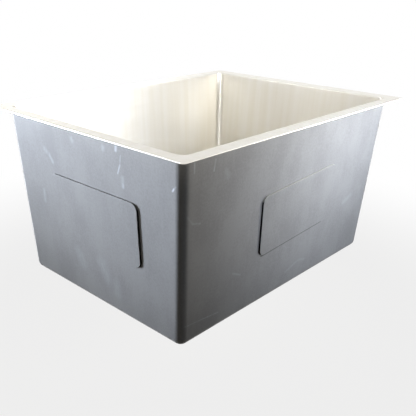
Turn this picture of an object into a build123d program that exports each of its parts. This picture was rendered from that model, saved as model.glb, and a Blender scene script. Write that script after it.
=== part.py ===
from build123d import *
import os
from math import cos, radians, sin, tan

# Undermount utility sink, in millimetres.
# The origin is the middle of the rim's top face, which bears on the underside of a worktop.
# X runs along the long side, Y from front to back, and Z up. The bowl hangs below the rim.

# Rim, a flat flange all round the mouth
rim_length = 600.0
rim_width = 461.0
flange_width = 25.0  # from the mouth to the rim's edge
rim_corner_radius = 6.0
rim_edge_round = 0.4
rim_bend_radius = 2.0  # under the flange, where it turns down into the walls

# Bowl, measured inside
bowl_depth = 304.0
wall_draft = 2.8  # degrees
wall_corner_radius = 11.0
floor_bend_radius = 10.0
sheet = 1.5

# Floor, with four falls to a flat square that holds the drain recess
floor_border = 12.0
floor_fall = 5.0
drain_flat = 150.0
recess_diameter = 119.0
recess_depth = 4.0
recess_lip_radius = 1.0  # under the sheet
recess_foot_radius = 2.0
drain_hole_diameter = 89.0

# Sprayed undercoat on the outside
undercoat = 1.0
undercoat_gap = 2.0  # bare strip below the flange's bend
drain_mask_margin = 7.0  # bare ring round the recess

# Sound pads stuck to the steel
pad_thickness = 4.0
pad_edge_round = 0.8
wall_pad_length = 212.0
wall_pad_height = 106.0
wall_pad_corner = 12.0
base_pad_length = 160.0
base_pad_width = 100.0
base_pad_corner = 10.0
base_pad_margin = 28.0  # from the outer edge of the falls to the pad

# Wall pads: which way the wall faces, offset along it, depth of the centre, turn in degrees
wall_pads = {
    "pad_front": ((0, -1), 15.0, 152.5, 3.0),
    "pad_left": ((-1, 0), 9.0, 146.0, 0.5),
    "pad_right": ((1, 0), 0.0, 149.0, 0.0),
    "pad_rear": ((0, 1), 0.0, 149.0, 0.0),
}
base_pads = {"pad_base_left": -1, "pad_base_right": 1}

# Strainer body, a drawn cup with a flange, the outlet spigot brazed under it and its cross
strainer_flange_diameter = 114.0
strainer_sheet = 1.2
strainer_hole_clearance = 1.1  # from the cup's thread to the bowl's hole
throat_flare = 2.2
cup_depth = 50.0
cup_foot_radius = 5.0
outlet_diameter = 39.0
spigot_diameter = 47.8
spigot_length = 22.0
cross_drop = 4.5  # from the cup's underside to the crosspiece
cross_thickness = 3.0
cross_arm_width = 4.0
cross_hub_diameter = 16.0

# Seals, washer and nut that clamp the strainer to the bowl
flange_seal_thickness = 1.5
flange_seal_width = 10.0
under_gasket_thickness = 3.0
gasket_diameter = 112.0
friction_washer_thickness = 1.0
friction_washer_diameter = 110.0
nut_height = 12.0
nut_diameter = 108.0
nut_thread_clearance = 0.15
nut_notches = 8
nut_notch_width = 14.0
nut_notch_depth = 4.0

# Basket, a perforated cup that lifts out of the strainer body
basket_clearance = 0.4
basket_sheet = 0.8
lip_drop = 1.5  # from the strainer's flange to the basket's lip
basket_mouth_diameter = 76.0
basket_foot_diameter = 60.0
side_hole_diameter = 3.6
side_hole_rows = 3
side_holes_per_row = 20
side_hole_pitch = 7.0
floor_hole_diameter = 4.0
floor_hole_rings = ((13.0, 8), (21.0, 14))  # radius of the ring, number of holes

# Stem with its knob, guide, stopper and tip
stem_diameter = 8.0
stem_clearance = 0.3
shank_diameter = 6.0
stopper_travel = 8.0
stopper_travel_clearance = 0.5
stopper_seat_clearance = 0.3
stopper_diameter = 54.0
stopper_thickness = 5.0
stopper_chamfer = 1.5
stopper_washer_diameter = 24.0
stopper_washer_thickness = 1.0
bushing_diameter = 14.0
bushing_spigot_diameter = 11.8
bushing_flange_diameter = 18.0
bushing_flange_thickness = 2.0
bushing_height = 12.0
clip_diameter = 17.0
clip_thickness = 1.0
detent_ring_height = 1.8
detent_ring_wall = 1.3
detent_grip = 0.15  # how far the ring stands inside the bushing's bore
detent_groove_depth = 0.3
knob_diameter = 22.0
knob_height = 16.0
knob_neck_diameter = 12.0
knob_neck_height = 7.0
knob_rise = 9.0  # of the knob's top above the drain's flat
knob_socket_depth = 12.0
tip_diameter = 8.4
tip_flange_diameter = 16.0
tip_flange_thickness = 1.5
tip_guide_clearance = 0.4
tip_overrun = 3.0  # of the tip below the crosspiece
tip_socket_depth = 8.0

# Heights and radii that follow from the sizes above
lean = tan(radians(wall_draft))
wall_growth = 1 / cos(radians(wall_draft))
mouth_length = rim_length - 2 * flange_width
mouth_width = rim_width - 2 * flange_width
floor_length = mouth_length - 2 * lean * bowl_depth
floor_width = mouth_width - 2 * lean * bowl_depth
falls_length = floor_length - 2 * (floor_bend_radius + floor_border)
falls_width = floor_width - 2 * (floor_bend_radius + floor_border)
base_pad_offset = falls_length / 2 - base_pad_margin - base_pad_width / 2
drain_flat_z = -(bowl_depth + floor_fall)
recess_floor = drain_flat_z - recess_depth
recess_under = recess_floor - sheet
hole_radius = drain_hole_diameter / 2
coat_top = -(sheet + rim_bend_radius + undercoat_gap)

strainer_flange_under = recess_floor + flange_seal_thickness
strainer_flange_top = strainer_flange_under + strainer_sheet
cup_outer_radius = hole_radius - strainer_hole_clearance
cup_radius = cup_outer_radius - strainer_sheet
throat_radius = cup_radius + throat_flare
throat_foot = recess_under  # the flare stays in the bowl's hole
throat_depth = strainer_flange_top - throat_foot
cup_floor = strainer_flange_top - cup_depth
cup_under = cup_floor - strainer_sheet
spigot_end = cup_under - spigot_length
outlet_radius = outlet_diameter / 2
cross_top = cup_under - cross_drop
cross_foot = cross_top - cross_thickness

gasket_foot = recess_under - under_gasket_thickness
friction_foot = gasket_foot - friction_washer_thickness
nut_foot = friction_foot - nut_height
nut_bore_radius = cup_outer_radius + nut_thread_clearance

stem_radius = stem_diameter / 2
shank_radius = shank_diameter / 2
stopper_foot = cup_floor + stopper_seat_clearance
stopper_top = stopper_foot + stopper_thickness
washer_top = stopper_top + stopper_washer_thickness
clip_foot = washer_top + stopper_travel + stopper_travel_clearance
basket_under = clip_foot + clip_thickness
basket_floor = basket_under + basket_sheet
lip_top = strainer_flange_top - lip_drop
lip_under = lip_top - basket_sheet
lip_radius = throat_radius - throat_flare * (lip_drop + basket_sheet) / throat_depth - basket_clearance
bushing_bore_radius = stem_radius + stem_clearance
bushing_top = basket_floor + bushing_height
detent_top = bushing_top - bushing_flange_thickness
detent_foot = detent_top - detent_ring_height
detent_inner_radius = bushing_bore_radius - detent_grip
knob_top = drain_flat_z + knob_rise
knob_foot = knob_top - knob_height
stem_top = knob_foot + knob_socket_depth
tip_end = cross_foot - tip_overrun
shank_end = tip_end + tip_socket_depth / 2


def at_height(part, z, half_length, half_width):
    """The edges of a part that lie at one height, inside a rectangle round the Z axis."""
    level = part.edges().filter_by(
        lambda edge: abs(edge.bounding_box().min.Z - z) < 0.01
        and abs(edge.bounding_box().max.Z - z) < 0.01
    )
    return level.filter_by(
        lambda edge: abs(edge.center().X) < half_length and abs(edge.center().Y) < half_width
    )


def ring_edges(part, radius, z):
    """The round edges of a part that have one radius and lie at one height on the Z axis."""
    return part.edges().filter_by(GeomType.CIRCLE).filter_by(
        lambda edge: abs(edge.radius - radius) < 0.01 and abs(edge.arc_center.Z - z) < 0.01
    )


def turned(outline):
    """A solid of revolution about Z, from a closed outline of radius and height pairs."""
    profile = Polyline(*[(radius, 0, z) for radius, z in outline], close=True)
    return revolve(make_face(profile), Axis.Z)


def washer(inner_radius, outer_radius, foot, top):
    """A flat ring about Z."""
    return turned([(inner_radius, foot), (outer_radius, foot), (outer_radius, top), (inner_radius, top)])


# Bowl
def bowl_form(grow, top, with_recess=True):
    """The space inside the bowl as a solid up to one height, grown outwards by a thickness."""
    foot = -(bowl_depth + grow)
    sections = []
    for z in (top, foot):
        reach = 2 * (grow * wall_growth + lean * z)
        sections.append(Pos(0, 0, z) * Rectangle(mouth_length + reach, mouth_width + reach))
    form = loft(sections, ruled=True)
    uprights = form.edges().filter_by(lambda edge: edge.bounding_box().size.Z > 1)
    form = fillet(uprights, wall_corner_radius + grow)
    form = fillet(at_height(form, foot, rim_length, rim_width), floor_bend_radius + grow)
    falls = [
        Pos(0, 0, foot) * Rectangle(falls_length, falls_width),
        Pos(0, 0, foot - floor_fall) * Rectangle(drain_flat, drain_flat),
    ]
    form += loft(falls, ruled=True)
    if with_recess:
        recess_radius = recess_diameter / 2 + grow
        recess_top = foot - floor_fall
        recess = Cylinder(recess_radius, recess_depth, align=(Align.CENTER, Align.CENTER, Align.MAX))
        form += Pos(0, 0, recess_top) * recess
        lip = ring_edges(form, recess_radius, recess_top)
        form = fillet(lip, recess_lip_radius + sheet - grow)
        recess_foot = ring_edges(form, recess_radius, recess_top - recess_depth)
        form = fillet(recess_foot, recess_foot_radius + grow)
    return form


def make_bowl():
    """Steel bowl with its flange, drafted walls, falls, recess and drain hole."""
    flange = extrude(RectangleRounded(rim_length, rim_width, rim_corner_radius), -sheet)
    flange = fillet(flange.edges().filter_by(Plane.XY), rim_edge_round)
    bowl = flange + bowl_form(sheet, -sheet / 2)
    inside = (mouth_length / 2 + 2 * sheet, mouth_width / 2 + 2 * sheet)
    bowl = fillet(at_height(bowl, -sheet, *inside), rim_bend_radius)
    bowl -= bowl_form(0, sheet)
    bowl = fillet(at_height(bowl, 0, *inside), rim_bend_radius + sheet)
    hole_length = 4 * (sheet + recess_depth)
    return bowl - Pos(0, 0, recess_floor) * Cylinder(hole_radius, hole_length)


# Sound pads
def wall_plane(facing, along, depth):
    """The plane of a wall's steel outside, with X along the wall and Y up it."""
    half = mouth_length / 2 if facing[0] else mouth_width / 2
    reach = half + sheet * wall_growth - lean * depth
    origin = (
        facing[0] * reach - facing[1] * along,
        facing[1] * reach + facing[0] * along,
        -depth,
    )
    level = cos(radians(wall_draft))
    outward = (facing[0] * level, facing[1] * level, -sin(radians(wall_draft)))
    return Plane(origin=origin, x_dir=(-facing[1], facing[0], 0), z_dir=outward)


def base_plane(side):
    """The plane of the base's steel underside on the left or right fall, at its pad's centre."""
    run = (falls_length - drain_flat) / 2
    slope = floor_fall / run
    rise = slope * (base_pad_offset - drain_flat / 2)
    origin = (side * base_pad_offset, 0, drain_flat_z - sheet + rise)
    return Plane(origin=origin, x_dir=(1, 0, side * slope), z_dir=(side * slope, 0, -1))


def sound_pad(plane, turn, length, width, corner):
    """A rubber pad with rounded corners, stuck on a plane and standing out from it."""
    outline = plane * Rot(Z=turn) * RectangleRounded(length, width, corner)
    pad = extrude(outline, pad_thickness)
    face = pad.faces().sort_by(lambda face: (face.center() - plane.origin).dot(plane.z_dir))[-1]
    return fillet(face.edges(), pad_edge_round)


def make_pads():
    """The four wall pads and the two base pads, by name."""
    pads = {}
    for name, (facing, along, depth, turn) in wall_pads.items():
        plane = wall_plane(facing, along, depth)
        pads[name] = sound_pad(plane, turn, wall_pad_length, wall_pad_height, wall_pad_corner)
    for name, side in base_pads.items():
        plane = base_plane(side)
        pads[name] = sound_pad(plane, 0, base_pad_width, base_pad_length, base_pad_corner)
    return pads


# Undercoat
def make_undercoat(pads):
    """Sprayed skin on the steel's outside, cut out round the pads and bare at the drain."""
    coat = bowl_form(sheet + undercoat, coat_top, with_recess=False) - bowl_form(sheet, 0)
    for pad in pads.values():
        coat -= pad
    mask_radius = recess_diameter / 2 + sheet + drain_mask_margin
    return coat - Pos(0, 0, recess_floor) * Cylinder(mask_radius, 4 * (floor_fall + recess_depth))


# Strainer body
def make_strainer_body():
    """Drawn cup with a flange, a flared throat and a hole for the outlet in its floor."""
    flange_radius = strainer_flange_diameter / 2
    body = turned(
        [
            (flange_radius, strainer_flange_top),
            (flange_radius, strainer_flange_under),
            (throat_radius + strainer_sheet / 2, strainer_flange_under),
            (cup_outer_radius, throat_foot),
            (cup_outer_radius, cup_under),
            (outlet_radius, cup_under),
            (outlet_radius, cup_floor),
            (cup_radius, cup_floor),
            (cup_radius, throat_foot),
            (throat_radius, strainer_flange_top),
        ]
    )
    body = fillet(ring_edges(body, cup_radius, cup_floor), cup_foot_radius)
    body = fillet(ring_edges(body, cup_outer_radius, cup_under), cup_foot_radius + strainer_sheet)
    return fillet(ring_edges(body, flange_radius, strainer_flange_top), strainer_sheet / 2)


def make_outlet_spigot():
    """Tube brazed under the cup's floor."""
    return washer(outlet_radius, spigot_diameter / 2, spigot_end, cup_under)


def make_crosspiece():
    """Stamped cross in the tube, with a hub and a hole that guides the stem's tip."""
    hub_radius = cross_hub_diameter / 2
    guide_radius = tip_diameter / 2 + tip_guide_clearance
    cross = Cylinder(hub_radius, cross_thickness)
    for angle in (0, 90):
        cross += Rot(Z=angle) * Box(outlet_diameter, cross_arm_width, cross_thickness)
    cross &= Cylinder(outlet_radius, cross_thickness)
    cross -= Cylinder(guide_radius, cross_thickness)
    return Pos(0, 0, (cross_top + cross_foot) / 2) * cross


# Seals, washer and nut
def make_flange_seal():
    """Soft ring in the recess, under the strainer's flange."""
    outer = strainer_flange_diameter / 2 - strainer_sheet
    return washer(outer - flange_seal_width, outer, recess_floor, strainer_flange_under)


def make_under_gasket():
    """Rubber ring against the steel's underside."""
    return washer(nut_bore_radius, gasket_diameter / 2, gasket_foot, recess_under)


def make_friction_washer():
    """Fibre ring that lets the nut turn without dragging the rubber."""
    return washer(nut_bore_radius, friction_washer_diameter / 2, friction_foot, gasket_foot)


def make_lock_nut():
    """Large nut on the cup's thread, with notches for a spanner."""
    nut = washer(nut_bore_radius, nut_diameter / 2, nut_foot, friction_foot)
    nut = fillet(ring_edges(nut, nut_diameter / 2, nut_foot), nut_height / 8)
    notch = Box(2 * nut_notch_depth, nut_notch_width, 2 * nut_height / 3)
    notch_z = nut_foot + nut_height / 3
    for place in PolarLocations(nut_diameter / 2, nut_notches):
        nut -= Pos(0, 0, notch_z) * place * notch
    return nut


# Basket
def side_radius(z):
    """The outside radius of the basket's tapered wall at one height."""
    share = (z - basket_under) / (lip_under - basket_under)
    return (basket_foot_diameter + share * (basket_mouth_diameter - basket_foot_diameter)) / 2


def make_basket_cup():
    """Thin perforated cup with a flat lip and a hole for the stem's guide."""
    cup = turned(
        [
            (lip_radius, lip_top),
            (lip_radius, lip_under),
            (basket_mouth_diameter / 2, lip_under),
            (basket_foot_diameter / 2, basket_under),
            (bushing_spigot_diameter / 2, basket_under),
            (bushing_spigot_diameter / 2, basket_floor),
            (side_radius(basket_floor) - basket_sheet, basket_floor),
            (basket_mouth_diameter / 2 - basket_sheet, lip_top),
        ]
    )
    holes = []
    middle = (basket_floor + lip_under) / 2
    drill = Rot(Y=90) * Cylinder(side_hole_diameter / 2, 12 * basket_sheet)
    for row in range(side_hole_rows):
        z = middle + side_hole_pitch * (row - (side_hole_rows - 1) / 2)
        stagger = 180 / side_holes_per_row * (row % 2)
        for place in PolarLocations(side_radius(z), side_holes_per_row, start_angle=stagger):
            holes.append(Pos(0, 0, z) * place * drill)
    for radius, count in floor_hole_rings:
        for place in PolarLocations(radius, count):
            floor_drill = Cylinder(floor_hole_diameter / 2, 4 * basket_sheet)
            holes.append(Pos(0, 0, basket_floor) * place * floor_drill)
    return cup - holes


def make_stem_bushing():
    """Nylon guide with a flange on the basket's floor and a groove for the detent ring."""
    groove_radius = detent_inner_radius + detent_ring_wall
    return turned(
        [
            (bushing_bore_radius, bushing_top),
            (bushing_diameter / 2, bushing_top),
            (bushing_diameter / 2, basket_floor + bushing_flange_thickness),
            (bushing_flange_diameter / 2, basket_floor + bushing_flange_thickness),
            (bushing_flange_diameter / 2, basket_floor),
            (bushing_spigot_diameter / 2, basket_floor),
            (bushing_spigot_diameter / 2, clip_foot),
            (bushing_bore_radius, clip_foot),
            (bushing_bore_radius, detent_foot),
            (groove_radius, detent_foot),
            (groove_radius, detent_top),
            (bushing_bore_radius, detent_top),
        ]
    )


def make_bushing_clip():
    """Steel ring pushed on the bushing's spigot, under the basket's floor."""
    return washer(bushing_spigot_diameter / 2, clip_diameter / 2, clip_foot, basket_under)


def make_detent_ring():
    """Springy ring in the bushing's groove that drops into the stem's grooves."""
    outer = detent_inner_radius + detent_ring_wall
    ring = washer(detent_inner_radius, outer, detent_foot, detent_top)
    inner_edges = ring_edges(ring, detent_inner_radius, detent_foot)
    inner_edges += ring_edges(ring, detent_inner_radius, detent_top)
    return fillet(inner_edges, detent_ring_height / 4)


# Stem and stopper
def make_stem():
    """Steel rod with two shallow grooves for the detent ring and a thinner shank below."""
    stem = turned(
        [
            (0, stem_top),
            (stem_radius, stem_top),
            (stem_radius, washer_top),
            (shank_radius, washer_top),
            (shank_radius, shank_end),
            (0, shank_end),
        ]
    )
    groove_radius = stem_radius - detent_groove_depth
    for pulled in (0, stopper_travel):
        foot = detent_foot - pulled
        stem -= washer(groove_radius, 2 * stem_radius, foot, foot + detent_ring_height)
    return stem


def make_stem_knob():
    """Round knob with a neck and a blind socket for the stem."""
    neck_top = knob_foot + knob_neck_height
    knob = turned(
        [
            (0, knob_top),
            (knob_diameter / 2, knob_top),
            (knob_diameter / 2, neck_top),
            (knob_neck_diameter / 2, neck_top),
            (knob_neck_diameter / 2, knob_foot),
            (0, knob_foot),
        ]
    )
    head_height = knob_height - knob_neck_height
    knob = fillet(ring_edges(knob, knob_diameter / 2, knob_top), 0.45 * head_height)
    knob = fillet(ring_edges(knob, knob_diameter / 2, neck_top), 0.3 * head_height)
    socket = Cylinder(stem_radius, knob_socket_depth, align=(Align.CENTER, Align.CENTER, Align.MIN))
    return knob - Pos(0, 0, knob_foot) * socket


def make_stopper_seal():
    """Rubber disc with chamfered edges that covers the outlet."""
    radius = stopper_diameter / 2
    return turned(
        [
            (shank_radius, stopper_foot),
            (radius - stopper_chamfer, stopper_foot),
            (radius, stopper_foot + stopper_chamfer),
            (radius, stopper_top - stopper_chamfer / 2),
            (radius - stopper_chamfer, stopper_top),
            (shank_radius, stopper_top),
        ]
    )


def make_stopper_washer():
    """Steel washer between the stem's shoulder and the rubber disc."""
    return washer(shank_radius, stopper_washer_diameter / 2, stopper_top, washer_top)


def make_stem_tip():
    """Flanged tip nut with a rounded end and a blind socket for the stem's shank."""
    flange_foot = stopper_foot - tip_flange_thickness
    tip = turned(
        [
            (0, stopper_foot),
            (tip_flange_diameter / 2, stopper_foot),
            (tip_flange_diameter / 2, flange_foot),
            (tip_diameter / 2, flange_foot),
            (tip_diameter / 2, tip_end),
            (0, tip_end),
        ]
    )
    tip = fillet(ring_edges(tip, tip_diameter / 2, tip_end), 0.35 * tip_diameter)
    socket_length = stopper_foot - shank_end
    socket = Cylinder(shank_radius, socket_length, align=(Align.CENTER, Align.CENTER, Align.MIN))
    return tip - Pos(0, 0, shank_end) * socket


# Every piece by its node's name
pads = make_pads()
pieces = {
    "bowl": make_bowl(),
    "undercoat": make_undercoat(pads),
    **pads,
    "strainer_body": make_strainer_body(),
    "outlet_spigot": make_outlet_spigot(),
    "crosspiece": make_crosspiece(),
    "flange_seal": make_flange_seal(),
    "under_gasket": make_under_gasket(),
    "friction_washer": make_friction_washer(),
    "lock_nut": make_lock_nut(),
    "basket_cup": make_basket_cup(),
    "stem_bushing": make_stem_bushing(),
    "bushing_clip": make_bushing_clip(),
    "detent_ring": make_detent_ring(),
    "stem": make_stem(),
    "stem_knob": make_stem_knob(),
    "stopper_seal": make_stopper_seal(),
    "stopper_washer": make_stopper_washer(),
    "stem_tip": make_stem_tip(),
}

os.makedirs("parts", exist_ok=True)
for name, piece in pieces.items():
    export_step(piece, f"parts/{name}.step")
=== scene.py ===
import math

import bpy
import numpy as np
from mathutils import Euler, Matrix, Vector


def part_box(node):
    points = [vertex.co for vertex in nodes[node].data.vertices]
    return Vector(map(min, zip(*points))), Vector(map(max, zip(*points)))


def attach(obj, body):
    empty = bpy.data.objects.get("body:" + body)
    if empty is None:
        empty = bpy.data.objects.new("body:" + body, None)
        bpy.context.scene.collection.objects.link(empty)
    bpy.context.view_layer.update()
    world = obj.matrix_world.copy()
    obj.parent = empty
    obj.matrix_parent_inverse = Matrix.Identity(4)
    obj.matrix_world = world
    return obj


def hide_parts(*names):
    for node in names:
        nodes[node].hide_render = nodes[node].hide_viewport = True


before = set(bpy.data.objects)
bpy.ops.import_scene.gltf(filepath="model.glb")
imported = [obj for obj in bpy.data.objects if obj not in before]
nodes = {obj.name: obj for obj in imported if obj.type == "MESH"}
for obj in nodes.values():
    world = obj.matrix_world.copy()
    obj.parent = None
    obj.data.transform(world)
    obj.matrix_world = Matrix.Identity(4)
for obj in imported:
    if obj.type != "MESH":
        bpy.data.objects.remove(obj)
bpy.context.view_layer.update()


# Bowl. One sheet of 18/10 stainless steel, pressed into a deep bowl with a flat flange and
# polished with an abrasive belt. The belt leaves fine level lines on the walls, and lines along
# the flange, which smear a reflection across themselves and give the steel its satin look.
def linear(hex_colour):
    """An sRGB hex colour as linear RGBA: the sRGB curve undone for each channel."""
    channels = [int(hex_colour[i : i + 2], 16) / 255 for i in (1, 3, 5)]
    return (*[c / 12.92 if c <= 0.04045 else ((c + 0.055) / 1.055) ** 2.4 for c in channels], 1)


def add_node(tree, kind, inputs=None, **settings):
    """Adds a node with its settings, and sets or links its inputs, by name or by number. A Map
    Range carries the range in inputs 1 and 2 over to the one in 3 and 4. A Mix takes its share in
    0 and mixes the numbers in 2 and 3, the vectors in 4 and 5 or the colours in 6 and 7, and its
    outputs 0, 1 and 2 are the mixed number, vector and colour."""
    node = tree.nodes.new(kind)
    for name, value in settings.items():
        setattr(node, name, value)
    for socket, value in (inputs or {}).items():
        if isinstance(value, bpy.types.NodeSocket):
            tree.links.new(value, node.inputs[socket])
        else:
            node.inputs[socket].default_value = value
    return node


def new_material(name):
    """An empty node material and its tree."""
    material = bpy.data.materials.new(name)
    material.use_nodes = True
    material.node_tree.nodes.clear()
    return material, material.node_tree


def finish_with(material, *names):
    """Gives CAD nodes one material."""
    for name in names:
        mesh = nodes[name].data
        mesh.materials.clear()
        mesh.materials.append(material)


def stretched_noise(tree, place, sizes, detail=3.0):
    """Noise whose grains have a size along each axis, in metres."""
    shares = [1 / size for size in sizes]
    scaled = add_node(tree, "ShaderNodeVectorMath", {0: place, 1: shares}, operation="MULTIPLY")
    noise = add_node(tree, "ShaderNodeTexNoise", {
        "Vector": scaled.outputs[0], "Scale": 1.0, "Detail": detail})
    return noise.outputs[0]


mm = 0.001
noise_low, noise_high = 0.3, 0.7  # nearly all of a noise lies between these
belt_line_gap = 1.1 * mm  # belt lines are about 0.1 mm apart, drawn coarser so that they show
belt_line_length = 90 * mm
belt_line_relief = 0.08
belt_line_depth = 0.2 * mm
belt_smear = 0.8
streak_width = 16 * mm  # faint upright bands, where the belt pressed harder
streak_length = 500 * mm
streak_low, streak_high = 0.35, 0.65
belt_steel_colour = "#EAE7E0"
streak_colour = "#E6E2D8"
belt_smoothest, belt_roughest = 0.36, 0.46
wall_upness, level_upness = 0.6, 0.8  # how much a face looks up or down, from the walls to the flange
brushed_steel, tree = new_material("belt_polished_stainless_steel")
place = add_node(tree, "ShaderNodeTexCoord").outputs["Object"]
facing = add_node(tree, "ShaderNodeNewGeometry").outputs["Normal"]
facing_parts = add_node(tree, "ShaderNodeSeparateXYZ", {0: facing})
upness = add_node(tree, "ShaderNodeMath", {0: facing_parts.outputs["Z"]}, operation="ABSOLUTE")
is_level = add_node(tree, "ShaderNodeMapRange", {
    0: upness.outputs[0], 1: wall_upness, 2: level_upness}).outputs[0]
wall_lines = stretched_noise(tree, place, (belt_line_length, belt_line_length, belt_line_gap))
level_lines = stretched_noise(tree, place, (belt_line_length, belt_line_gap, belt_line_length))
lines = add_node(tree, "ShaderNodeMix", {0: is_level, 2: wall_lines, 3: level_lines}).outputs[0]
across_lines = add_node(tree, "ShaderNodeMix", {
    0: is_level, 4: (0, 0, 1), 5: (0, 1, 0)}, data_type="VECTOR")
streaks = stretched_noise(tree, place, (streak_width, streak_width, streak_length))
streak_share = add_node(tree, "ShaderNodeMapRange", {0: streaks, 1: streak_low, 2: streak_high})
colour = add_node(tree, "ShaderNodeMix", {
    0: streak_share.outputs[0], 6: linear(belt_steel_colour), 7: linear(streak_colour)}, data_type="RGBA")
roughness = add_node(tree, "ShaderNodeMapRange", {
    0: lines, 1: noise_low, 2: noise_high, 3: belt_smoothest, 4: belt_roughest})
bump = add_node(tree, "ShaderNodeBump", {
    "Height": lines, "Strength": belt_line_relief, "Distance": belt_line_depth})
shader = add_node(tree, "ShaderNodeBsdfPrincipled", {
    "Base Color": colour.outputs[2], "Metallic": 1.0, "Roughness": roughness.outputs[0],
    "Anisotropic": belt_smear, "Tangent": across_lines.outputs[1], "Normal": bump.outputs[0]})
add_node(tree, "ShaderNodeOutputMaterial", {"Surface": shader.outputs[0]})
finish_with(brushed_steel, "bowl")


# Undercoat. A grey vinyl coat with a filler, sprayed on the outside of the walls and the base to
# deaden the steel. It dries satin with a fine orange peel and faint clouds, and storage and
# handling leave pale rub marks on it.
coat_colour = "#9B9A97"
coat_cloud_colour = "#908F8C"
coat_smoothest, coat_roughest = 0.44, 0.56
coat_specular = 0.12
peel_size = 3.0 * mm  # a real peel is about 2 mm, drawn coarser so that it shows
peel_relief = 0.25
peel_depth = 0.15 * mm
peel_reach = 0.35
cloud_size = 55 * mm
cloud_stretch = 1.6
cloud_low, cloud_high = 0.35, 0.7
stroke_width = 6 * mm
stroke_length = 170 * mm
stroke_reach = 0.1


def sprayed_coat(tree, place):
    """The coat's colour, roughness and height: clouds of two greys, faint upright strokes of the
    spray gun, and a fine orange peel."""
    peel = stretched_noise(tree, place, (peel_size,) * 3, detail=2.0)
    clouds = stretched_noise(tree, place, (cloud_size, cloud_size, cloud_stretch * cloud_size))
    strokes = stretched_noise(tree, place, (stroke_width, stroke_width, stroke_length))
    share = add_node(tree, "ShaderNodeMapRange", {0: clouds, 1: cloud_low, 2: cloud_high}).outputs[0]
    for fine_part, reach in ((strokes, stroke_reach), (peel, peel_reach)):
        offset = add_node(tree, "ShaderNodeMapRange", {
            0: fine_part, 1: noise_low, 2: noise_high, 3: -reach, 4: reach})
        share = add_node(tree, "ShaderNodeMath", {
            0: share, 1: offset.outputs[0]}, operation="ADD").outputs[0]
    share = add_node(tree, "ShaderNodeClamp", {0: share})
    colour = add_node(tree, "ShaderNodeMix", {
        0: share.outputs[0], 6: linear(coat_colour), 7: linear(coat_cloud_colour)}, data_type="RGBA")
    roughness = add_node(tree, "ShaderNodeMapRange", {
        0: share.outputs[0], 3: coat_smoothest, 4: coat_roughest})
    return colour.outputs[2], roughness.outputs[0], peel


def scuff(tree, flat_place, start, end, width, strength):
    """How much a mark shows: its full strength on the line from start to end, none at its width."""
    run = Vector(end) - Vector(start)
    from_start = add_node(tree, "ShaderNodeVectorMath", {
        0: flat_place, 1: start}, operation="SUBTRACT")
    along = add_node(tree, "ShaderNodeVectorMath", {
        0: from_start.outputs[0], 1: run / run.length_squared}, operation="DOT_PRODUCT")
    held = add_node(tree, "ShaderNodeClamp", {0: along.outputs["Value"]})
    nearest = add_node(tree, "ShaderNodeVectorMath", {
        0: run, "Scale": held.outputs[0]}, operation="SCALE")
    gap = add_node(tree, "ShaderNodeVectorMath", {
        0: from_start.outputs[0], 1: nearest.outputs[0]}, operation="DISTANCE")
    mark = add_node(tree, "ShaderNodeMapRange", {
        0: gap.outputs["Value"], 1: 0.0, 2: width, 3: strength, 4: 0.0},
        interpolation_type="SMOOTHSTEP")
    return mark.outputs[0]


# Rub marks in mm: from a place along the wall and a height over the rim, below it where negative,
# to another place and height, then the half width and the strength
left_wall_marks = [
    (-84, -26, -81, -41, 2.0, 0.25), (-81, -41, -75, -55, 2.2, 0.6),
    (-85, -60, -85, -69, 6.0, 0.18), (-85, -69, -85, -73, 5.0, 0.35),
    (-193, -46, -190, -49, 2.2, 0.4), (-190, -49, -187, -53, 2.4, 0.8),
    (-75, -15, -74, -20, 4.5, 0.6), (112, -56, 100, -64, 7.0, 0.16),
    (100, -64, 92, -75, 5.5, 0.22), (130, -134, 131, -154, 6.0, 0.16),
    (32, -24, 30, -27, 7.0, 0.14), (-45, -22, -44, -25, 7.0, 0.18),
    (-202, -19, -201, -24, 5.0, 0.2), (47, -225, 37, -246, 18.0, 0.12),
    (-16, -224, -28, -250, 20.0, 0.12), (-50, -250, -52, -268, 16.0, 0.1),
]
front_wall_marks = [
    (-255, -14, -254, -28, 2.0, 0.4), (-213, -18, -215, -34, 2.0, 0.4),
    (-263, -89, -252, -102, 2.4, 0.18), (-252, -102, -236, -106, 2.4, 0.22),
    (-152, -218, -132, -228, 2.6, 0.18), (-255, -270, -227, -272, 1.8, 0.2),
    (-227, -272, -181, -277, 1.8, 0.3), (175, -187, 199, -178, 8.0, 0.12),
    (-188, -40, -183, -50, 8.0, 0.12), (2, -274, 38, -263, 4.0, 0.12),
    (38, -263, 60, -268, 4.0, 0.1),
]
rub_colour = "#E4E7EE"
rub_grain = (2.5 * mm, 2.5 * mm, 14 * mm)
rub_low, rub_high = 0.3, 0.6
faintest_rub = 0.35
beside_wall, on_wall_face = 0.9, 0.95  # how squarely a face looks the wall's way
# The front pad's painted shadow, a thin dark line on the coat under its lower edge
pad_shadow_start = (-80, -213.2)  # in mm, as the rub marks
pad_shadow_end = (98, -203.8)
pad_shadow_half_width = 2.4 * mm
pad_shadow_strength = 0.9
pad_shadow_colour = "#4A4844"
coat, tree = new_material("sprayed_grey_undercoat")
place = add_node(tree, "ShaderNodeTexCoord").outputs["Object"]
facing = add_node(tree, "ShaderNodeNewGeometry").outputs["Normal"]
colour, roughness, peel = sprayed_coat(tree, place)
marked = None
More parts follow.
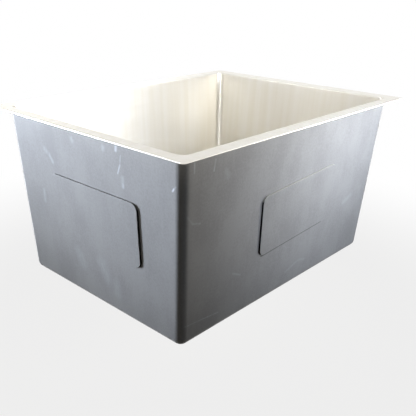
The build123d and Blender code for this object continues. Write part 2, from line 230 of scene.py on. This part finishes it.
for outward, flat, spread, marks in (
    ((-1, 0, 0), (0, 1, 1), lambda along, height: (0, along * mm, height * mm), left_wall_marks),
    ((0, -1, 0), (1, 0, 1), lambda along, height: (along * mm, 0, height * mm), front_wall_marks),
):
    flat_place = add_node(tree, "ShaderNodeVectorMath", {
        0: place, 1: flat}, operation="MULTIPLY").outputs[0]
    turned_to = add_node(tree, "ShaderNodeVectorMath", {
        0: facing, 1: outward}, operation="DOT_PRODUCT")
    on_wall = add_node(tree, "ShaderNodeMapRange", {
        0: turned_to.outputs["Value"], 1: beside_wall, 2: on_wall_face}).outputs[0]
    for along, height, end_along, end_height, half_width, strength in marks:
        mark = scuff(tree, flat_place, spread(along, height), spread(end_along, end_height),
                     half_width * mm, strength)
        mark = add_node(tree, "ShaderNodeMath", {0: mark, 1: on_wall}, operation="MULTIPLY").outputs[0]
        if marked:
            mark = add_node(tree, "ShaderNodeMath", {
                0: mark, 1: marked}, operation="MAXIMUM").outputs[0]
        marked = mark
rub_grain_and_painted_highlight = stretched_noise(tree, place, rub_grain)
rubbed_share = add_node(tree, "ShaderNodeMapRange", {
    0: rub_grain_and_painted_highlight, 1: rub_low, 2: rub_high, 3: faintest_rub, 4: 1.0})
marked = add_node(tree, "ShaderNodeMath", {
    0: marked, 1: rubbed_share.outputs[0]}, operation="MULTIPLY").outputs[0]
colour = add_node(tree, "ShaderNodeMix", {
    0: marked, 6: colour, 7: linear(rub_colour)}, data_type="RGBA").outputs[2]
# On the front wall, the last of the two above, a painted shadow: a thin dark line just under the front
# pad's lower edge, where the pad shades the coat
painted_pad_shadow = scuff(tree, flat_place, spread(*pad_shadow_start), spread(*pad_shadow_end),
               pad_shadow_half_width, pad_shadow_strength)
painted_pad_shadow = add_node(tree, "ShaderNodeMath", {0: painted_pad_shadow, 1: on_wall}, operation="MULTIPLY").outputs[0]
colour = add_node(tree, "ShaderNodeMix", {
    0: painted_pad_shadow, 6: colour, 7: linear(pad_shadow_colour)}, data_type="RGBA").outputs[2]
bump = add_node(tree, "ShaderNodeBump", {
    "Height": peel, "Strength": peel_relief, "Distance": peel_depth})
shader = add_node(tree, "ShaderNodeBsdfPrincipled", {
    "Base Color": colour, "Roughness": roughness, "Specular IOR Level": coat_specular,
    "Normal": bump.outputs[0]})
add_node(tree, "ShaderNodeOutputMaterial", {"Surface": shader.outputs[0]})
finish_with(coat, "undercoat")


# Sound pads. Black bitumen rubber, 4 mm thick, die-cut and stuck to the bare steel before the
# spraying, so the coat covers their faces and the sides that look up. The other sides, which
# the spray gun didn't reach, stay black and cut-edged.
pad_facings = {
    "pad_left": (-1, 0, 0), "pad_right": (1, 0, 0), "pad_front": (0, -1, 0), "pad_rear": (0, 1, 0),
    "pad_base_left": (0, 0, -1), "pad_base_right": (0, 0, -1),
}
top_coat_and_painted_shade = {"pad_left": 0.75}  # on this pad the top is painted partly black as shade, where little light falls on it
top_edge_highlight = {"pad_front": 0.4}  # a painted highlight: this pad's upper edge is painted pale, for the light from above that it catches
top_edge_highlight_colour = "#EDE6D6"
side_outness, face_outness = 0.45, 0.75  # how much a face looks outwards, from the side to the front
side_upness, top_upness = 0.2, 0.5
cut_colour = "#060606"
cut_grain_colour = "#141312"
cut_grain_size = 0.8 * mm
cut_roughness = 0.85
for name, outward in pad_facings.items():
    rubber, tree = new_material("sprayed_rubber_" + name)
    place = add_node(tree, "ShaderNodeTexCoord").outputs["Object"]
    facing = add_node(tree, "ShaderNodeNewGeometry").outputs["Normal"]
    colour, roughness, peel = sprayed_coat(tree, place)
    outness = add_node(tree, "ShaderNodeVectorMath", {0: facing, 1: outward}, operation="DOT_PRODUCT")
    face_share = add_node(tree, "ShaderNodeMapRange", {
        0: outness.outputs["Value"], 1: side_outness, 2: face_outness})
    upness = add_node(tree, "ShaderNodeSeparateXYZ", {0: facing})
    # The tops are coated, but the left pad's top is partly painted black as shade
    top_share = add_node(tree, "ShaderNodeMapRange", {
        0: upness.outputs["Z"], 1: side_upness, 2: top_upness, 3: 0.0, 4: top_coat_and_painted_shade.get(name, 1.0)})
    coated = add_node(tree, "ShaderNodeMath", {
        0: face_share.outputs[0], 1: top_share.outputs[0]}, operation="MAXIMUM").outputs[0]
    cut_grain = stretched_noise(tree, place, (cut_grain_size,) * 3)
    black = add_node(tree, "ShaderNodeMix", {
        0: cut_grain, 6: linear(cut_colour), 7: linear(cut_grain_colour)}, data_type="RGBA")
    colour = add_node(tree, "ShaderNodeMix", {
        0: coated, 6: black.outputs[2], 7: colour}, data_type="RGBA")
    # The front pad's upper edge is painted pale as a highlight
    rub_grain_and_painted_highlight = add_node(tree, "ShaderNodeMath", {
        0: top_share.outputs[0], 1: top_edge_highlight.get(name, 0.0)}, operation="MULTIPLY")
    colour = add_node(tree, "ShaderNodeMix", {
        0: rub_grain_and_painted_highlight.outputs[0], 6: colour.outputs[2], 7: linear(top_edge_highlight_colour)}, data_type="RGBA")
    roughness = add_node(tree, "ShaderNodeMix", {0: coated, 2: cut_roughness, 3: roughness})
    bump = add_node(tree, "ShaderNodeBump", {
        "Height": peel, "Strength": peel_relief, "Distance": peel_depth})
    shader = add_node(tree, "ShaderNodeBsdfPrincipled", {
        "Base Color": colour.outputs[2], "Roughness": roughness.outputs[0],
        "Specular IOR Level": coat_specular, "Normal": bump.outputs[0]})
    add_node(tree, "ShaderNodeOutputMaterial", {"Surface": shader.outputs[0]})
    finish_with(rubber, name)


# Flange seal. A ring of closed-cell polyethylene foam that lies in the bowl's recess, under the
# strainer's flange. Its cells show as a fine white grain.
foam_cell = 0.9 * mm
foam_cell_relief = 0.4
foam_cell_depth = 0.2 * mm
foam_shade_colour = "#D6D6D0"
foam_colour = "#F0F0EC"
foam_roughness = 0.8
foam, tree = new_material("closed_cell_foam")
place = add_node(tree, "ShaderNodeTexCoord").outputs["Object"]
cells = add_node(tree, "ShaderNodeTexVoronoi", {"Vector": place, "Scale": 1 / foam_cell})
colour = add_node(tree, "ShaderNodeMix", {
    0: cells.outputs["Distance"], 6: linear(foam_shade_colour), 7: linear(foam_colour)}, data_type="RGBA")
bump = add_node(tree, "ShaderNodeBump", {
    "Height": cells.outputs["Distance"], "Strength": foam_cell_relief, "Distance": foam_cell_depth})
shader = add_node(tree, "ShaderNodeBsdfPrincipled", {
    "Base Color": colour.outputs[2], "Roughness": foam_roughness, "Normal": bump.outputs[0]})
add_node(tree, "ShaderNodeOutputMaterial", {"Surface": shader.outputs[0]})
finish_with(foam, "flange_seal")


# Strainer body. Stainless steel, drawn into a cup whose flange lies on the seal, with a thread
# rolled on the cup's outside for the lock nut. It is polished while it turns, so its fine lines
# run round it.
turning_line_gap = 0.5 * mm
turning_line_depth = 0.1 * mm
stain_size = 14 * mm
stain_low, stain_high = 0.35, 0.7


def turned_lines(tree, place, gap):
    """Noise in rings round the Z axis: it changes with the radius and the height alone."""
    parts = add_node(tree, "ShaderNodeSeparateXYZ", {0: place})
    level = add_node(tree, "ShaderNodeVectorMath", {0: place, 1: (1, 1, 0)}, operation="MULTIPLY")
    radius = add_node(tree, "ShaderNodeVectorMath", {0: level.outputs[0]}, operation="LENGTH")
    rings = add_node(tree, "ShaderNodeCombineXYZ", {
        0: radius.outputs["Value"], 1: parts.outputs["Z"]})
    return stretched_noise(tree, rings.outputs[0], (gap,) * 3)


def turned_metal(name, light_colour, dark_colour, smooth, rough, gap=turning_line_gap, relief=0.1):
    """A metal with fine rings of two roughnesses and a little relief, and stains of two tints."""
    metal, tree = new_material(name)
    place = add_node(tree, "ShaderNodeTexCoord").outputs["Object"]
    rings = turned_lines(tree, place, gap)
    stain = stretched_noise(tree, place, (stain_size,) * 3)
    share = add_node(tree, "ShaderNodeMapRange", {0: stain, 1: stain_low, 2: stain_high})
    colour = add_node(tree, "ShaderNodeMix", {
        0: share.outputs[0], 6: linear(light_colour), 7: linear(dark_colour)}, data_type="RGBA")
    roughness = add_node(tree, "ShaderNodeMapRange", {
        0: rings, 1: noise_low, 2: noise_high, 3: smooth, 4: rough})
    bump = add_node(tree, "ShaderNodeBump", {
        "Height": rings, "Strength": relief, "Distance": turning_line_depth})
    shader = add_node(tree, "ShaderNodeBsdfPrincipled", {
        "Base Color": colour.outputs[2], "Metallic": 1.0, "Roughness": roughness.outputs[0],
        "Normal": bump.outputs[0]})
    add_node(tree, "ShaderNodeOutputMaterial", {"Surface": shader.outputs[0]})
    return metal


def arc(centre_radius, centre_height, radius, start, end, steps=10):
    """Points of an arc in the half plane of radius and height: its centre plus the cosine and the
    sine of each angle, times its radius."""
    angles = np.radians(np.linspace(start, end, steps + 1))
    return np.stack([
        centre_radius + radius * np.cos(angles), centre_height + radius * np.sin(angles)], 1)


def threaded_wall(radius, start, end, pitch, rows_per_pitch=8):
    """Points up or down a straight wall, evenly spaced, with so many to each pitch of its thread."""
    steps = int(rows_per_pitch * abs(end - start) / pitch)
    return np.stack([np.full(steps + 1, radius), np.linspace(start, end, steps + 1)], 1)


def turned_piece(name, outline, thread, material, turns=240, wall_tolerance=0.01, sharp_angle=35):
    """A closed outline carried round the Z axis. Where the outline is the thread's wall, the radius
    drops by half the depth times one plus the cosine of the helix's phase, which is the height over
    the pitch less the share of the turn, and the thread fades in over one pitch at each end."""
    thread_radius, low, high, pitch, depth = thread
    radii, heights = outline[:, 0], outline[:, 1]
    fade = np.clip(np.minimum(heights - low, high - heights) / pitch, 0, 1)
    fade *= np.abs(radii - thread_radius) < wall_tolerance
    angles = np.linspace(0, 2 * np.pi, turns, endpoint=False)[:, None]
    phase = 2 * np.pi * heights / pitch - angles
    reach = radii - fade * depth * (1 + np.cos(phase)) / 2
    levels = np.broadcast_to(heights, reach.shape)
    points = np.stack([reach * np.cos(angles), reach * np.sin(angles), levels], 2) * mm
    count = len(outline)
    here = np.arange(turns)[:, None] * count + np.arange(count)
    next_turn = np.roll(here, -1, axis=0)
    faces = np.stack([
        here, next_turn, np.roll(next_turn, -1, axis=1), np.roll(here, -1, axis=1)], 2)
    mesh = bpy.data.meshes.new(name)
    mesh.from_pydata(points.reshape(-1, 3), [], faces.reshape(-1, 4))
    mesh.shade_smooth()
    mesh.set_sharp_from_angle(angle=math.radians(sharp_angle))
    mesh.materials.append(material)
    piece = bpy.data.objects.new(name, mesh)
    bpy.context.scene.collection.objects.link(piece)
    return piece


polished_steel = turned_metal(
    "polished_stainless_steel", light_colour="#E2E0D9", dark_colour="#D8D5CC", smooth=0.14, rough=0.24)
low, high = (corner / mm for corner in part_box("strainer_body"))
flange_radius = high.x
flange_top = high.z
cup_under = low.z
sheet = 1.2
flange_edge = sheet / 2
cup_radius = 43.4
flare = 2.2
flare_foot = flange_top - 4.2
cup_foot_radius = 6.2
outlet_radius = 19.5
thread_pitch = 2.2
thread_depth = 0.7
thread_top = flange_top - 5.5
thread_foot = cup_under + cup_foot_radius
outline = np.concatenate([
    arc(flange_radius - flange_edge, flange_top - flange_edge, flange_edge, 90, 0),
    [(flange_radius, flange_top - sheet), (cup_radius - sheet / 2 + flare, flange_top - sheet)],
    [(cup_radius, flare_foot)],
    threaded_wall(cup_radius, thread_top, thread_foot, thread_pitch),
    arc(cup_radius - cup_foot_radius, thread_foot, cup_foot_radius, 0, -90)[1:],
    [(outlet_radius, cup_under), (outlet_radius, cup_under + sheet)],
    arc(cup_radius - cup_foot_radius, thread_foot, cup_foot_radius - sheet, -90, 0),
    [(cup_radius - sheet, flare_foot), (cup_radius - sheet + flare, flange_top)],
])[::-1]
strainer = turned_piece(
    "strainer_body_threaded", outline,
    (cup_radius, thread_foot, thread_top, thread_pitch, thread_depth), polished_steel)
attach(strainer, "sink")
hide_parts("strainer_body")


# Outlet spigot. A brass tube brazed under the cup, with a 1.5 inch pipe thread cut on it for the
# coupling nut of a trap. Brass as it comes off the lathe is bright, with rings and a few stains.
turned_brass = turned_metal(
    "turned_brass", light_colour="#CDA75C", dark_colour="#B08A45", smooth=0.24, rough=0.38,
    gap=0.8 * mm, relief=0.2)
low, high = (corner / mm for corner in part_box("outlet_spigot"))
spigot_radius = high.x
spigot_chamfer = 0.8
spigot_thread_depth = 1.0
spigot_thread_top = high.z - 1.5
spigot_thread_foot = low.z + spigot_chamfer
outline = np.concatenate([
    [(outlet_radius, high.z), (spigot_radius, high.z)],
    threaded_wall(spigot_radius, spigot_thread_top, spigot_thread_foot, thread_pitch),
    [(spigot_radius - spigot_chamfer, low.z), (outlet_radius, low.z)],
])[::-1]
spigot = turned_piece(
    "outlet_spigot_threaded", outline,
    (spigot_radius, spigot_thread_foot, spigot_thread_top, thread_pitch, spigot_thread_depth), turned_brass)
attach(spigot, "sink")
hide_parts("outlet_spigot")


# Crosspiece and the basket guide's clip. Both are stamped from stainless sheet. The crosspiece is
# pressed into the spigot, where its hub guides the stopper's tip. They are left as rolled, with
# a satin skin.
rolled_steel = turned_metal(
    "rolled_stainless_sheet", light_colour="#D6D4CD", dark_colour="#C6C3BA", smooth=0.32, rough=0.42,
    gap=0.9 * mm)
finish_with(rolled_steel, "crosspiece", "bushing_clip")


# Under gasket and stopper disc. Moulded black rubber, matt, with a fine bloom on its skin. The
# gasket lies under the bowl, and the disc closes the outlet.
bloom_size = 9 * mm
skin_size = 0.6 * mm
skin_relief = 0.15
skin_depth = 0.1 * mm
rubber_colour = "#161616"
bloom_colour = "#2B2B2A"
rubber_smoothest, rubber_roughest = 0.5, 0.7
moulded_rubber, tree = new_material("moulded_black_rubber")
place = add_node(tree, "ShaderNodeTexCoord").outputs["Object"]
bloom = stretched_noise(tree, place, (bloom_size,) * 3)
skin = stretched_noise(tree, place, (skin_size,) * 3)
colour = add_node(tree, "ShaderNodeMix", {
    0: bloom, 6: linear(rubber_colour), 7: linear(bloom_colour)}, data_type="RGBA")
roughness = add_node(tree, "ShaderNodeMapRange", {
    0: bloom, 1: noise_low, 2: noise_high, 3: rubber_smoothest, 4: rubber_roughest})
bump = add_node(tree, "ShaderNodeBump", {
    "Height": skin, "Strength": skin_relief, "Distance": skin_depth})
shader = add_node(tree, "ShaderNodeBsdfPrincipled", {
    "Base Color": colour.outputs[2], "Roughness": roughness.outputs[0], "Normal": bump.outputs[0]})
add_node(tree, "ShaderNodeOutputMaterial", {"Surface": shader.outputs[0]})
finish_with(moulded_rubber, "under_gasket", "stopper_seal")


# Friction washer. Vulcanised fibre board, punched out of a sheet. Short fibres lie in it at all
# angles and show as a warm brown fleck.
fibre_length = 2.4 * mm
fibre_width = 0.5 * mm
fibre_low, fibre_high = 0.45, 0.7
fibre_relief = 0.2
fibre_depth = 0.1 * mm
board_colour = "#7A4F33"
fibre_colour = "#A27450"
board_roughness = 0.7
fibre_board, tree = new_material("vulcanised_fibre_board")
place = add_node(tree, "ShaderNodeTexCoord").outputs["Object"]
one_way = stretched_noise(tree, place, (fibre_length, fibre_width, fibre_width))
other_way = stretched_noise(tree, place, (fibre_width, fibre_length, fibre_width))
fibres = add_node(tree, "ShaderNodeMath", {0: one_way, 1: other_way}, operation="MAXIMUM").outputs[0]
fibre_share = add_node(tree, "ShaderNodeMapRange", {0: fibres, 1: fibre_low, 2: fibre_high})
colour = add_node(tree, "ShaderNodeMix", {
    0: fibre_share.outputs[0], 6: linear(board_colour), 7: linear(fibre_colour)}, data_type="RGBA")
bump = add_node(tree, "ShaderNodeBump", {
    "Height": fibres, "Strength": fibre_relief, "Distance": fibre_depth})
shader = add_node(tree, "ShaderNodeBsdfPrincipled", {
    "Base Color": colour.outputs[2], "Roughness": board_roughness, "Normal": bump.outputs[0]})
add_node(tree, "ShaderNodeOutputMaterial", {"Surface": shader.outputs[0]})
finish_with(fibre_board, "friction_washer")


# Lock nut. A large brass nut, turned and notched for a spanner. It pulls the strainer's flange
# down on the seal, and has the spigot's bright skin with its rings.
finish_with(turned_brass, "lock_nut")


# Basket. A thin stainless cup, drawn, perforated and polished, that lifts out with the scraps.
# Its stem slides in a guide moulded of nylon, white and faintly yellowed, in which a springy
# steel ring grips the stem.
finish_with(polished_steel, "basket_cup", "detent_ring")
nylon_grain = 0.7 * mm
nylon_relief = 0.1
nylon_depth = 0.1 * mm
yellowing_size = 7 * mm
nylon_colour = "#EEEDE7"
yellowed_colour = "#DFDCD0"
nylon_roughness = 0.42
nylon, tree = new_material("moulded_white_nylon")
place = add_node(tree, "ShaderNodeTexCoord").outputs["Object"]
grain = stretched_noise(tree, place, (nylon_grain,) * 3)
yellowing = stretched_noise(tree, place, (yellowing_size,) * 3)
colour = add_node(tree, "ShaderNodeMix", {
    0: yellowing, 6: linear(nylon_colour), 7: linear(yellowed_colour)}, data_type="RGBA")
bump = add_node(tree, "ShaderNodeBump", {
    "Height": grain, "Strength": nylon_relief, "Distance": nylon_depth})
shader = add_node(tree, "ShaderNodeBsdfPrincipled", {
    "Base Color": colour.outputs[2], "Roughness": nylon_roughness, "Normal": bump.outputs[0]})
add_node(tree, "ShaderNodeOutputMaterial", {"Surface": shader.outputs[0]})
finish_with(nylon, "stem_bushing")


# Stem and stopper. A turned and polished stainless stem with a round knob. The rubber disc is
# held against its shoulder by a washer and the tip.
finish_with(polished_steel, "stem", "stem_knob", "stopper_washer", "stem_tip")


# Stage. A pale paper floor, softboxes and a camera. The paper and the surroundings show white to
# the camera and in reflections, the paper a little less so near the sink. For all other light the
# paper is matt and the surroundings are dim.
floor_level = -0.43
floor_size = 30.0
paper_near, paper_far = 0.4, 1.1
paper_near_white = 0.84
paper_colour = "#A39A8C"
surroundings_colour = "#F2E4CE"
surroundings_strength = 0.02
pure_white = (1, 1, 1, 1)
bpy.ops.mesh.primitive_plane_add(size=floor_size, location=(0, 0, floor_level))
floor = bpy.context.object
floor.name = "floor"
paper, tree = new_material("white_paper_sweep")
place = add_node(tree, "ShaderNodeTexCoord").outputs["Object"]
reach = add_node(tree, "ShaderNodeVectorMath", {0: place}, operation="LENGTH")
near_far = add_node(tree, "ShaderNodeMapRange", {
    0: reach.outputs["Value"], 1: paper_near, 2: paper_far, 3: paper_near_white, 4: 1.0},
    interpolation_type="SMOOTHSTEP")
rays = add_node(tree, "ShaderNodeLightPath")
seen = add_node(tree, "ShaderNodeMath", {
    0: rays.outputs["Is Camera Ray"], 1: rays.outputs["Is Glossy Ray"]}, operation="MAXIMUM")
white_part = add_node(tree, "ShaderNodeMath", {
    0: seen.outputs[0], 1: near_far.outputs[0]}, operation="MULTIPLY")
matt = add_node(tree, "ShaderNodeBsdfDiffuse", {"Color": linear(paper_colour)})
glow = add_node(tree, "ShaderNodeEmission", {"Color": pure_white, "Strength": 1.0})
top = add_node(tree, "ShaderNodeMixShader", {
    0: white_part.outputs[0], 1: matt.outputs[0], 2: glow.outputs[0]})
clear = add_node(tree, "ShaderNodeBsdfTransparent")
back = add_node(tree, "ShaderNodeNewGeometry").outputs["Backfacing"]
from_below = add_node(tree, "ShaderNodeMath", {
    0: back, 1: rays.outputs["Is Camera Ray"]}, operation="MULTIPLY")
mix = add_node(tree, "ShaderNodeMixShader", {
    0: from_below.outputs[0], 1: top.outputs[0], 2: clear.outputs[0]})
add_node(tree, "ShaderNodeOutputMaterial", {"Surface": mix.outputs[0]})
floor.data.materials.append(paper)

world = bpy.data.worlds.new("studio")
bpy.context.scene.world = world
world.use_nodes = True
tree = world.node_tree
tree.nodes.clear()
rays = add_node(tree, "ShaderNodeLightPath")
seen = add_node(tree, "ShaderNodeMath", {
    0: rays.outputs["Is Camera Ray"], 1: rays.outputs["Is Glossy Ray"]}, operation="MAXIMUM")
dim = add_node(tree, "ShaderNodeBackground", {
    "Color": linear(surroundings_colour), "Strength": surroundings_strength})
white = add_node(tree, "ShaderNodeBackground", {"Color": pure_white, "Strength": 1.0})
mix = add_node(tree, "ShaderNodeMixShader", {
    0: seen.outputs[0], 1: dim.outputs[0], 2: white.outputs[0]})
add_node(tree, "ShaderNodeOutputWorld", {"Surface": mix.outputs[0]})


def softbox(name, place, target, size, power, colour="#FFFFFF", spread=180.0):
    """An area lamp of a size in metres and a power in watts, aimed at a point."""
    lamp = bpy.data.lights.new(name, "AREA")
    lamp.shape = "RECTANGLE"
    lamp.size, lamp.size_y = size
    lamp.energy = power
    lamp.color = linear(colour)[:3]
    lamp.spread = math.radians(spread)
    stand = bpy.data.objects.new(name, lamp)
    stand.location = place
    stand.rotation_euler = (Vector(target) - Vector(place)).to_track_quat("-Z", "Y").to_euler()
    stand.visible_camera = False
    bpy.context.scene.collection.objects.link(stand)


daylight = "#E2ECFF"
warm_white = "#FFFAF4"
above_floor = 0.005
softbox("back_left_softbox", place=(-1.15, 1.64, 0.02), target=(-0.25, -0.1, 0.05),
        size=(0.4, 0.4), power=3.6, colour=daylight, spread=30.0)
softbox("back_right_softbox", place=(1.3, 1.3, -0.2), target=(0.0, 0.0, -0.4),
        size=(0.9, 0.3), power=16.0)
softbox("left_softbox", place=(-0.6, 0.1, -0.05), target=(-0.28, 0.03, -0.1),
        size=(0.25, 0.25), power=0.26)
softbox("front_softbox", place=(0.6, -1.75, 0.66), target=(0.22, -0.2, 0.03),
        size=(0.35, 0.35), power=1.9, colour=daylight, spread=26.0)
softbox("right_softbox", place=(1.1, -0.8, -0.14), target=(-0.12, -0.2, -0.03),
        size=(0.2, 0.2), power=0.3, colour=warm_white, spread=26.0)
softbox("inside_softbox", place=(-0.9, -0.8, 0.6), target=(0.25, 0.2, -0.02),
        size=(0.3, 0.3), power=0.12, spread=16.0)
softbox("back_high_softbox", place=(-1.1, 0.9, 0.7), target=(0.28, 0.0, -0.1),
        size=(0.25, 0.25), power=0.022, spread=18.0)
softbox("narrow_softbox", place=(0.9, -1.0, 1.2), target=(-0.1, 0.205, -0.06),
        size=(0.2, 0.2), power=0.35, spread=20.0)
softbox("under_softbox", place=(0.0, 0.0, floor_level + above_floor), target=(0.0, 0.0, 0.0),
        size=(0.32, 0.32), power=0.3)

camera_place = (-0.77992, -0.69222, 0.20828)
camera_yaw = 46.32
camera_pitch = 23.58
camera_roll = 0.72
camera = bpy.data.cameras.new("camera")
camera.sensor_width = 36.0
camera.lens = 49.872
camera.shift_x = 0.0560
camera.shift_y = 0.0448
camera.clip_start = 0.01
stand = bpy.data.objects.new("camera", camera)
turn = Euler((math.radians(90 - camera_pitch), 0, math.radians(-camera_yaw))).to_matrix()
roll = Matrix.Rotation(math.radians(camera_roll), 3, "Z")
stand.matrix_world = Matrix.Translation(camera_place) @ (turn @ roll).to_4x4()
bpy.context.scene.collection.objects.link(stand)
bpy.context.scene.camera = stand
bpy.context.scene.view_settings.view_transform = "Standard"
